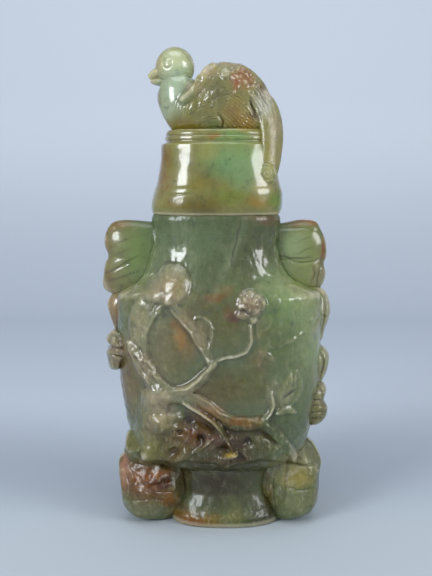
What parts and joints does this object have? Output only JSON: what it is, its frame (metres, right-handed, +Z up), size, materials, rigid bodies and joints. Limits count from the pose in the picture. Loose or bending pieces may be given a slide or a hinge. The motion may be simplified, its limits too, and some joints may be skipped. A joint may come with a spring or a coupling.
{
  "type": "lidded urn",
  "caption": "Flattened stone urn on a foot, with leaf-shaped handles, carved fruiting branches and a lift-off lid topped by a long-tailed bird; holds small things and stands on its own.",
  "frame": {"origin": "on the foot's flat underside, straight below the middle of the body", "axes": "+Z up, towards the bird; the front with the fruiting branches faces -Y, and +X is to a viewer's right"},
  "size_m": [0.1012, 0.06, 0.2099],
  "materials": {
    "green_fluorite": "polished translucent blue-green to olive fluorite with brown iron staining",
    "olive_fluorite": "polished translucent yellow-green fluorite with olive and red-brown zones"
  },
  "bodies": {
    "root": {"vase": "green_fluorite", "lid": "olive_fluorite"}
  },
  "joints": []
}
